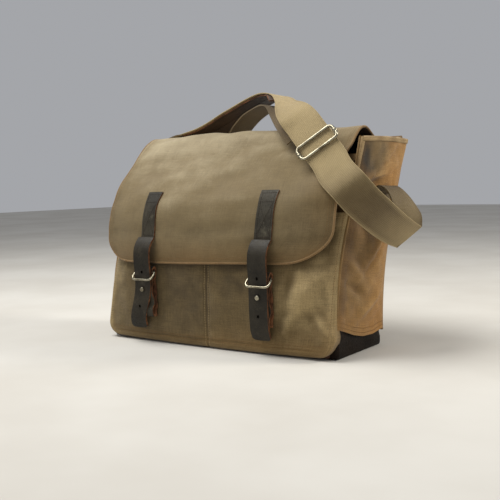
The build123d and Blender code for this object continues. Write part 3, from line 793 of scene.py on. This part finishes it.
def make_base():
    """The leather base: a tray with rounded corners, its sides hidden above by the canvas hem."""
    corners = []
    for way_x, way_y, start in ((1, -1, -90), (1, 1, 0), (-1, 1, 90), (-1, -1, 180)):
        radius = 9.0 if way_y > 0 else 3.5
        for angle in np.radians(start + np.arange(9) * 90 / 8):
            corners.append((way_x * (HALF_WIDTH - radius) + radius * np.cos(angle),
                            way_y * (HALF_DEPTH - radius) + radius * np.sin(angle)))
    corners = np.array(corners)
    loop = []
    for a, b in zip(corners, np.roll(corners, -1, axis=0)):
        count = max(1, int(np.linalg.norm(b - a) / 4))
        loop += [a + (b - a) * k / count for k in range(count)]
    loop = np.array(loop)
    toward = unit(loop - np.sign(loop) * np.minimum(np.abs(loop), [HALF_WIDTH - 3.5, HALF_DEPTH - 3.5]))
    rows = [(-9, 0.15), (-4, 0.0), (-1.6, 0.5), (-0.3, 2.0), (0.2, 5), (0.5, 12), (0.4, 20), (0.2, 28), (-0.2, 36),
            (-0.6, 46)]
    grid = []
    for out, height in rows:
        soft = 0.9 * waves(loop[:, 0] + loop[:, 1], np.full(len(loop), height * 2.0), 30, 51) * ramp(height, 2, 12)
        tucked = ramp(loop[:, 1], 50, 62) * float(ramp(height, 14, 21))
        ring = loop + toward * (out + soft * 0.8 * (1 - tucked) - 3.2 * tucked)[:, None]
        grid.append(np.column_stack([ring, height + 0 * soft]))
    grid = np.array(grid).transpose(1, 0, 2)
    grid = np.concatenate([grid, grid[:1]])
    index = np.arange(grid.shape[0] * grid.shape[1]).reshape(grid.shape[:2])
    faces = [quads(index), index[:-1, 0][None, ::-1]]
    item = mesh("base_cloth", grid.reshape(-1, 3), faces, [base_leather], uv=grid_uv(grid))
    placed(item, "bag", ["leather_base"])


# ---- closure straps and tabs
STRAP_PATH = [(-87, 21), (-92.6, 34), (-95.2, 48), (-96.2, 64), (-96.2, 80), (-96.4, 98), (-97.6, 112), (-98.4, 124),
              (-97.2, 136), (-92.6, 146), (-85.5, 154)]
TAB_PATH = [(-84.2, 39), (-85.8, 47), (-84.2, 56), (-86.6, 65), (-84.6, 73), (-84.6, 83), (-86.4, 92), (-84.6, 100),
            (-84.4, 106.5), (-87.5, 110.2), (-91.0, 106.5), (-91.4, 100), (-89.2, 91), (-90.6, 82), (-91.6, 73),
            (-88.6, 65.5), (-88.0, 58), (-91.4, 50), (-88.6, 40)]


def strip(name, path, x_at, width, thick, materials, round_start=0.0, nu=17, nv=140, cup=0.0):
    """A leather strip along a side-view path, its outer face on the path. x_at gives its middle line's x."""
    v = np.linspace(0, 1, nv)
    if round_start:
        v = v**1.5
    yz = curve(path, v)
    s = run_lengths(yz)
    half = corner(s, width / 2, round_start) if round_start else np.full(nv, width / 2)
    u = np.linspace(-1, 1, nu)[:, None]
    x = x_at(yz[:, 1])[None] + half[None] * u
    grid = xyz(x, yz[:, 0], yz[:, 1])
    grid = grid + normals_of(grid) * (-cup * u**2)[..., None]
    return grid, sheet(name, grid, thick, materials)


def make_closure(side, x):
    swing = 15.0 if side == "left" else 0.0
    middle = lambda z: x - swing * ramp(z, 85, 20) - 1.2 * ramp(z, 60, 20)
    _, item = strip(f"closure_{side}_cloth", STRAP_PATH, middle, 29, 3.0, [strap_shine, strap_leather, raw_leather],
                       round_start=5.0, cup=0.5)
    for height in (54, 104):
        at = (float(middle(np.array(height))), -95.0, height)
        bpy.ops.mesh.primitive_cylinder_add(vertices=20, radius=2.2 * MM, depth=0.03, location=Vector(at) * MM,
                                            rotation=(np.pi / 2, 0, 0))
        cutter = bpy.context.object
        cut = item.modifiers.new("hole", "BOOLEAN")
        cut.object, cut.operation, cut.solver = cutter, "DIFFERENCE", "EXACT"
        bpy.context.view_layer.objects.active = item
        bpy.ops.object.modifier_apply(modifier="hole")
        bpy.data.objects.remove(cutter)
    placed(item, "flap", [f"closure_strap_{side}"])
    shift = lambda z: x + 1.8 + 0.8 * np.sin(z / 8)
    _, tab = strip(f"tab_{side}_cloth", TAB_PATH, shift, 27, 2.0, [raw_leather, strap_leather, raw_leather], nv=200)
    placed(tab, "flap", [f"ring_tab_{side}"])
    # The sewn upper end, on the flap
    heights = np.linspace(152.5, 217, 60)
    wide = np.linspace(-12.5, 12.5, 15)
    spots = np.array([[flap_at(x + w, h) for h in heights] for w in wide])
    lying = lookup(flap_grid, spots[..., 0], spots[..., 1])
    lying = lying + normals_of(lying) * 2.1
    patch = sheet(f"patch_{side}_cloth", lying, 2.3, [strap_leather, strap_leather, raw_leather])
    placed(patch, "flap", [f"strap_patch_{side}"])
    ends = [0.12, 0.88]
    runs = box(*ends, 0.06, 0.94)
    runs.update({"rising": (ends, [0.10, 0.74]), "falling": (ends, [0.74, 0.10]), "bar": (ends, [0.77, 0.77])})
    straight_seams(f"patch_{side}", lying, runs, 40, dark_thread, body="flap", slot="strap_leather", pitch=3.2,
                   length=2.5, radius=0.4, sink=0.15)


# ---- shoulder strap
def band_grid(stations, width, cup, shift, square):
    """A band's outer face through stations of (centre, across); square turns each across to a right angle."""
    spots = np.array([s[0] for s in stations], float)
    across = np.array([s[1] for s in stations], float)
    length = run_lengths(spots)
    t = np.linspace(0, 1, int(length[-1] / 10 * 4))
    centre = curve(spots, t)
    side = columns(t, length / length[-1], across)
    for _ in range(12):
        side[1:-1] = (side[2:] + side[:-2] + 2 * side[1:-1]) / 4
    run = unit(np.gradient(centre, axis=0))
    if square:
        side = side - run * (side * run).sum(axis=1, keepdims=True)
    side = unit(side)
    up = unit(np.cross(side, run))
    u = np.linspace(-1, 1, 9)[:, None, None]
    return centre[None] + side[None] * u * width / 2 + up[None] * (shift - cup * u**2)


def make_band(name, stations, width, body, materials, replaces, tone=0.5, thick=1.9, shift=0.95, seed=3,
              square=True):
    grid = band_grid(stations, width, 0.4, shift, square)
    nu, nv = grid.shape[:2]
    along = np.linspace(0, 1, nv)[None] * np.ones((nu, 1))
    edge = np.abs(np.linspace(-1, 1, nu))[:, None] ** 6
    value = (tone(grid) if callable(tone) else tone) + 0.12 * waves(along * nv, 40 * edge, 30, seed)
    item = sheet(name, grid, thick, materials, value)
    return grid, placed(item, body, replaces)


SLIDER_AT = np.array([147.1, -22.3, 277.0])
SLIDER_RUN = unit(np.array([-0.689, 0.30, 0.659]))
ACROSS = unit(np.array([0.719, 0.396, 0.572]))


def along_slider(distance):
    return tuple(SLIDER_AT + SLIDER_RUN * distance)


def make_shoulder_strap():
    a = tuple(ACROSS)
    flat = (0, 1, -0.1)
    cloth = [webbing_cloth, webbing_cloth, webbing_cloth]
    swing = ("bag", "shoulder_strap", (0.249, 0.041, 0.152), (0.1725, -0.0335, 0.2527))
    tail = ("bag", "shoulder_strap", (-0.2, 0.09, 0.215), (-0.2, 0.105, 0.292))
    main = [((247.5, 41, 151.5), (0.37, 0.77, 0.51)), ((242, 21, 160), (0.42, 0.66, 0.56)),
            ((235.5, 0, 172), (0.5, 0.56, 0.6)), ((229, -22, 186.5), (0.58, 0.48, 0.6)),
            ((220.5, -42, 202.7), (0.65, 0.43, 0.59)), ((208, -55, 222.7), (0.7, 0.4, 0.58)),
            ((184.5, -43.3, 240), a), (along_slider(-31), a), (along_slider(-12), a), (along_slider(12), a),
            (along_slider(30), a), (along_slider(46), a), ((98, -1, 321.5), (0.5, 0.68, 0.53)),
            ((66, 30, 336), (0.12, 0.92, 0.36)), ((38, 68, 350), (-0.03, 0.98, 0.16)),
            ((10, 96, 360), (-0.1, 0.98, 0.0)), ((-14, 104, 360.5), (-0.1, 0.96, -0.15)),
            ((-40, 107, 352), (-0.1, 0.93, -0.3)), ((-90, 107, 330), (-0.05, 0.9, -0.42)),
            ((-135, 106, 312), (-0.05, 0.92, -0.35)), ((-170, 104, 307), (0, 0.98, -0.15)), ((-184, 103, 305.5), flat)]
    # Painted light: the band is painted lighter higher up, where the light from above falls, and darker on its low run
    # at the left, as painted shade.
    light = lambda g: 0.52 + 0.22 * ramp(g[..., 2], 200, 300) - 0.12 * ramp(g[..., 2], 330, 300) * (g[..., 0] < 0)
    grid, _ = make_band("strap_band", main, 48.4, swing, cloth, ["shoulder_webbing"], tone=light,
                           square=False)
    v = np.linspace(0, 1, 500)
    for label, u in (("low", 0.004), ("high", 0.996)):
        path = lookup(grid, u, v) - lookup(normals_of(grid), u, v) * 0.9
        placed(tube(f"selvedge_{label}", path, 1.0, webbing_cloth, sides=6, tone=0.9), swing)
    over = [((112, -6, 293), a), ((84, 18, 309), (0.35, 0.85, 0.4)), ((52, 50, 326), (0.1, 0.97, 0.2)),
            ((22, 76, 340), (0, 1, 0)), ((-8, 92, 343), (0, 1, 0)), ((-38, 99, 333), flat), ((-60, 101, 317), flat),
            ((-70, 102, 306), flat)]
    # The returning layer lies under the main band and is given a much darker tone, as painted shade.
    make_band("strap_return", over, 48, "shoulder_strap", cloth, ["webbing_return"], tone=0.22, seed=5)
    x = 198.9
    end = [((x, 58, 170), flat), ((x, 59, 190), flat), ((x + 0.4, 60, 206), flat), ((202, 60, 215), flat),
           ((208, 58, 219), (0, 1, 0)), ((220, 53, 214.5), (-0.05, 1, 0)), ((231, 50, 203), (0.12, 1, -0.04)),
           ((239, 47, 190), (0.25, 0.92, -0.1)), ((245, 44, 170), (0.35, 0.8, 0.3)),
           ((247.3, 41.3, 151.5), (0.37, 0.77, 0.51))]
    grid, _ = make_band("strap_anchor_right", end, 50, "bag", cloth, ["strap_end_right"], tone=0.36, seed=7,
                        square=False)
    ends, low, top = [0.08, 0.92], 0.03, 0.2
    runs = box(*ends, low, top)
    runs.update({"rise": (ends, [low, top]), "fall": (ends, [top, low])})
    straight_seams("anchor", grid, runs, 60, brown_thread, pitch=3.2)
    end = [((-x, 58, 170), flat), ((-x - 0.4, 60, 205), flat), ((-201, 66, 228), flat), ((-203.5, 75, 248), flat),
           ((-205, 86, 268), flat), ((-204, 96, 288), flat), ((-196, 101.5, 301), flat), ((-182, 103, 306.5), flat),
           ((-170, 104, 307.5), flat)]
    make_band("strap_anchor_left", end[::-1], 50, tail, cloth, ["strap_end_left"], tone=0.40, seed=9)
    leathers = [pad_leather, pad_leather, raw_leather]
    grid, piece = make_band("strap_pad", main[14:21], 43, "shoulder_strap", leathers, ["shoulder_pad"],
                            thick=2.2, shift=-1.1, seed=11)
    under = grid - normals_of(grid) * 2.3
    v = np.linspace(0.02, 0.98, 200)
    for label, u in (("low", 0.09), ("high", 0.91), ("middle", 0.5)):
        row = stitches(f"pad_{label}", lookup(under, u, v), -lookup(normals_of(grid), u, v), dark_thread, pitch=3.6)
        placed(row, "shoulder_strap")


def make_slider():
    """A bent wire frame over the webbing, its bar under it, and small collars where they meet."""
    up = unit(np.cross(ACROSS, SLIDER_RUN))
    loop = []
    for a, b, start in ((22.5, -5.0, -90), (22.5, 5.0, 0), (-22.5, 5.0, 90), (-22.5, -5.0, 180)):
        for angle in np.radians(np.linspace(start, start + 90, 10)):
            loop.append(SLIDER_AT + ACROSS * (a + 6 * np.cos(angle)) + SLIDER_RUN * (b + 6 * np.sin(angle)) + up * 3.6)
    loop = np.array(loop + loop[:1])
    loop = resample(loop, 1.5, loop)[0][:-1]
    placed(tube("slider_wire", loop, 2.05, wire, sides=16, closed=True), "slider", ["slider_frame"])
    bar = [(-28.5, 3.2), (-28.5, -1.6), (-26.8, -3.1), (0, -3.1), (26.8, -3.1), (28.5, -1.6), (28.5, 3.2)]
    path = curve([(a, b, 0) for a, b in bar], np.linspace(0, 1, 80))
    path = SLIDER_AT + ACROSS * path[:, :1] + up * path[:, 1:2]
    placed(tube("slider_bar_wire", path, 1.5, wire, sides=12), "slider", ["slider_bar"])
    for end in (-1, 1):
        at = SLIDER_AT + ACROSS * end * 28.6 + up * 3.2
        path = at + SLIDER_RUN * np.array([-3.2, -2.7, 0, 2.7, 3.2])[:, None]
        knob = tube(f"slider_collar_{'low' if end < 0 else 'high'}", path, [1.2, 2.75, 3.0, 2.75, 1.2], wire, sides=16)
        placed(knob, "slider")


# ---- the object
def box_uv(item):
    """Lengths in metres as UV on a CAD node, from each face's own direction."""
    data = item.data
    layer = data.uv_layers.get("UVMap") or data.uv_layers.new(name="UVMap")
    for poly in data.polygons:
        n = poly.normal
        axis = max(range(3), key=lambda k: abs(n[k]))
        keep = [k for k in range(3) if k != axis]
        for loop in poly.loop_indices:
            co = data.vertices[data.loops[loop].vertex_index].co
            layer.data[loop].uv = (co[keep[0]], co[keep[1]])


def paint_node(name, material):
    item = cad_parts[name]
    item.data.materials.clear()
    item.data.materials.append(material)
    box_uv(item)
    for key, value in (("tone", 0.42), ("warm", 0.2)):
        layer = item.data.attributes.get(key) or item.data.attributes.new(key, "FLOAT", "POINT")
        layer.data.foreach_set("value", np.full(len(item.data.vertices), value, np.float32))


make_flap()
make_pocket()
make_gusset("right", 1)
make_gusset("left", -1)
make_back()
make_base()
for side, x in CLOSURE_X.items():
    make_closure(side, x)
make_shoulder_strap()
make_slider()
shown = {"front_panel": gusset_canvas, "rim_binding": edge_cloth, "lining": lining_cloth,
         "pocket_divider": lining_cloth, "base_board": board}
for side in ("left", "right"):
    shown.update({f"ring_{side}": wire, f"stud_{side}": wire, f"stud_screw_{side}": wire,
                  f"snap_magnet_{side}": magnet, f"snap_plate_{side}": magnet})
for name, material in shown.items():
    paint_node(name, material)

# ---- stage, light and camera
floor_paint = Paint("floor", roughness=0.9, specular=0.1)
patchy = floor_paint.spread(floor_paint.noise(3.0, 4.0), 0.3, 0.7)
floor_paint.finish(floor_paint.mix(patchy, rgb(196, 192, 184), rgb(206, 203, 196)))
bpy.ops.mesh.primitive_plane_add(size=12)
floor = bpy.context.object
floor.name = "floor"
floor.data.materials.append(floor_paint.material)

world = bpy.data.worlds.new("world")
scene.world = world
world.use_nodes = True
background = world.node_tree.nodes["Background"]
background.inputs["Color"].default_value = (0.93, 0.95, 1.0, 1)
background.inputs["Strength"].default_value = 0.40


def area_light(name, at, target, size, power, colour):
    data = bpy.data.lights.new(name, "AREA")
    data.shape, data.size, data.energy, data.color = "DISK", size, power, colour
    item = linked(name, data)
    item.location = at
    item.rotation_mode = "QUATERNION"
    item.rotation_quaternion = (Vector(target) - Vector(at)).to_track_quat("-Z", "Y")


area_light("sky", (-0.6, -0.35, 1.7), (0, 0, 0.15), 1.2, 34, (1.0, 0.99, 0.96))
area_light("side", (1.3, 0.75, 1.05), (0.1, 0, 0.15), 0.5, 15, (1.0, 0.95, 0.86))
area_light("front", (0.2, -1.9, 0.8), (0, 0, 0.15), 1.4, 3, (0.95, 0.97, 1.0))

azimuth, elevation, roll, distance = np.radians(35.1), np.radians(4.7), np.radians(-1.4), 1171.1
target = np.array([10.4, 11.3, 130.3])
back = np.array([np.sin(azimuth) * np.cos(elevation), -np.cos(azimuth) * np.cos(elevation), np.sin(elevation)])
across = np.array([np.cos(azimuth), np.sin(azimuth), 0])
upward = np.cross(back, across)
axis_x = np.cos(roll) * across + np.sin(roll) * upward
axis_y = -np.sin(roll) * across + np.cos(roll) * upward
camera_data = bpy.data.cameras.new("camera")
camera_data.lens, camera_data.sensor_width = 57.6, 36
camera = linked("camera", camera_data)
turn = Matrix([axis_x, axis_y, back]).transposed().to_4x4()
camera.matrix_world = Matrix.Translation(Vector((target + back * distance) * MM)) @ turn
scene.camera = camera
scene.view_settings.view_transform = "Standard"
